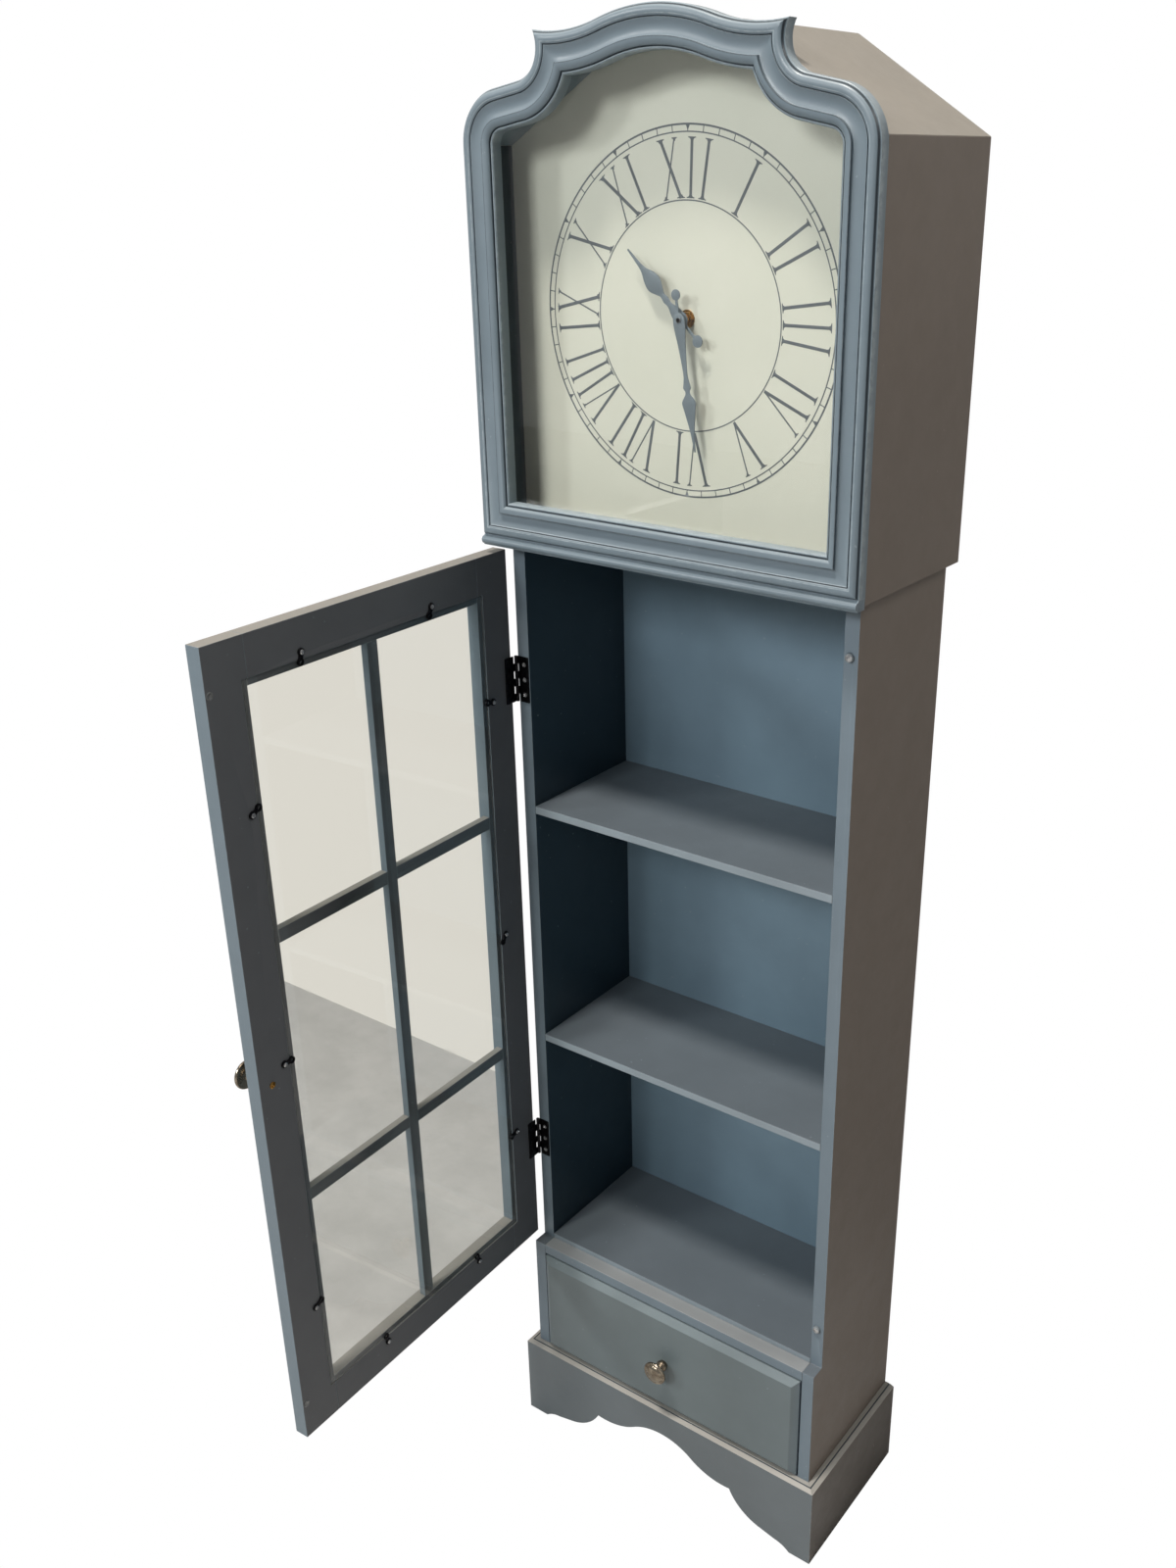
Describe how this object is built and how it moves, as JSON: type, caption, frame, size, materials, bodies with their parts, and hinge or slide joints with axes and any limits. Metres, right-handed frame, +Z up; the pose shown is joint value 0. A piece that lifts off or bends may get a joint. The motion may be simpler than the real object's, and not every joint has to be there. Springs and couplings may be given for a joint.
{
  "type": "clock cabinet",
  "caption": "Tall narrow clock cabinet: an arched glazed hood with dial and hands over a shelved cupboard with a hinged glass door, and a drawer above a scalloped plinth.",
  "frame": {"origin": "on the floor, at the back face, midway across the cabinet", "axes": "+X to the right seen from the front, +Y out of the back, +Z up; the front faces -Y"},
  "size_m": [0.4418, 0.5695, 1.6179],
  "materials": {
    "slate_paint": "painted slate blue-grey, satin, fine brush lines",
    "taupe_paint": "painted warm grey, satin",
    "dark_paint": "painted dark slate, eggshell",
    "plain_board": "bare fibreboard and softwood",
    "dial_print": "cream dial board, matt print",
    "clear_glass": "clear float glass",
    "grey_hand": "grey lacquered sheet",
    "black_metal": "black lacquer",
    "bright_screw": "bright zinc",
    "nickel": "antique nickel, polished",
    "brass": "brass",
    "black_plastic": "moulded black",
    "cell": "plain battery wrap"
  },
  "bodies": {
    "cabinet": {"side_panel_left": "slate_paint", "side_panel_right": "slate_paint", "back_panel": "slate_paint", "base_board": "plain_board", "bottom_board": "slate_paint", "ledge_rail": "slate_paint", "shelf_upper": "slate_paint", "shelf_lower": "slate_paint", "plinth_front": "slate_paint", "plinth_side_left": "taupe_paint", "plinth_side_right": "taupe_paint", "hood_floor": "taupe_paint", "hood_side_left": "taupe_paint", "hood_side_right": "taupe_paint", "hood_roof_top": "taupe_paint", "hood_roof_slopes": "taupe_paint", "hood_back": "plain_board", "hood_frame": "slate_paint", "hood_bullnose": "slate_paint", "hood_glass": "clear_glass", "hood_battens": "slate_paint", "dial_board": "dial_print", "movement_case": "black_plastic", "movement_bush": "brass", "battery": "cell", "catch_magnets": "bright_screw", "hinge_leaves_frame": "black_metal", "hinge_pins": "black_metal", "frame_leaf_screws": "bright_screw"},
    "minute": {"minute_hand": "grey_hand", "minute_arbor": "brass"},
    "hour": {"hour_hand": "grey_hand"},
    "door": {"door_stile_hinge": "dark_paint", "door_stile_latch": "dark_paint", "door_rail_top": "dark_paint", "door_rail_bottom": "dark_paint", "glazing_bar_upright": "dark_paint", "glazing_bars_cross": "dark_paint", "door_glass": "clear_glass", "hinge_leaves_door": "black_metal", "door_screws": "bright_screw", "door_knob": "nickel", "door_knob_screw": "bright_screw", "strike_discs": "bright_screw"},
    "drawer": {"drawer_front": "slate_paint", "drawer_box": "plain_board", "drawer_bottom": "plain_board", "drawer_knob": "nickel", "drawer_knob_screw": "bright_screw"},
    "clip_01": {"glass_clip_01": "black_metal"},
    "clip_02": {"glass_clip_02": "black_metal"},
    "clip_03": {"glass_clip_03": "black_metal"},
    "clip_04": {"glass_clip_04": "black_metal"},
    "clip_05": {"glass_clip_05": "black_metal"},
    "clip_06": {"glass_clip_06": "black_metal"},
    "clip_07": {"glass_clip_07": "black_metal"},
    "clip_08": {"glass_clip_08": "black_metal"},
    "clip_09": {"glass_clip_09": "black_metal"},
    "clip_10": {"glass_clip_10": "black_metal"}
  },
  "joints": [
    {"name": "minute_turn", "type": "hinge", "parent": "cabinet", "child": "minute", "pos_m": [0, -0.15, 1.3722], "axis": [0, 1, 0], "continuous": true},
    {"name": "hour_turn", "type": "hinge", "parent": "cabinet", "child": "hour", "pos_m": [0, -0.15, 1.3722], "axis": [0, 1, 0], "continuous": true},
    {"name": "door_swing", "type": "hinge", "parent": "cabinet", "child": "door", "pos_m": [-0.2012, -0.1718, 0.7105], "axis": [0, 0, -1], "range_deg": [-88, 92]},
    {"name": "drawer_slide", "type": "slide", "parent": "cabinet", "child": "drawer", "axis": [0, -1, 0], "range_m": [0, 0.13]},
    {"name": "clip_turn_01", "type": "hinge", "parent": "door", "child": "clip_01", "pos_m": [-0.19795, -0.2934, 1.109], "axis": [0.9994, 0.0349, 0], "continuous": true},
    {"name": "clip_turn_02", "type": "hinge", "parent": "door", "child": "clip_02", "pos_m": [-0.19207, -0.46205, 1.109], "axis": [0.9994, 0.0349, 0], "continuous": true},
    {"name": "clip_turn_03", "type": "hinge", "parent": "door", "child": "clip_03", "pos_m": [-0.18945, -0.53681, 0.98064], "axis": [0.9994, 0.0349, 0], "continuous": true},
    {"name": "clip_turn_04", "type": "hinge", "parent": "door", "child": "clip_04", "pos_m": [-0.18945, -0.53681, 0.72459], "axis": [0.9994, 0.0349, 0], "continuous": true},
    {"name": "clip_turn_05", "type": "hinge", "parent": "door", "child": "clip_05", "pos_m": [-0.18945, -0.53681, 0.43097], "axis": [0.9994, 0.0349, 0], "continuous": true},
    {"name": "clip_turn_06", "type": "hinge", "parent": "door", "child": "clip_06", "pos_m": [-0.19806, -0.29028, 0.312], "axis": [0.9994, 0.0349, 0], "continuous": true},
    {"name": "clip_turn_07", "type": "hinge", "parent": "door", "child": "clip_07", "pos_m": [-0.19269, -0.44424, 0.312], "axis": [0.9994, 0.0349, 0], "continuous": true},
    {"name": "clip_turn_08", "type": "hinge", "parent": "door", "child": "clip_08", "pos_m": [-0.20085, -0.21051, 0.9869], "axis": [0.9994, 0.0349, 0], "continuous": true},
    {"name": "clip_turn_09", "type": "hinge", "parent": "door", "child": "clip_09", "pos_m": [-0.20085, -0.21051, 0.71363], "axis": [0.9994, 0.0349, 0], "continuous": true},
    {"name": "clip_turn_10", "type": "hinge", "parent": "door", "child": "clip_10", "pos_m": [-0.20085, -0.21051, 0.4482], "axis": [0.9994, 0.0349, 0], "continuous": true}
  ],
  "couplings": [
    {"joint": "hour_turn", "follows": "minute_turn", "ratio": 0.083333}
  ]
}
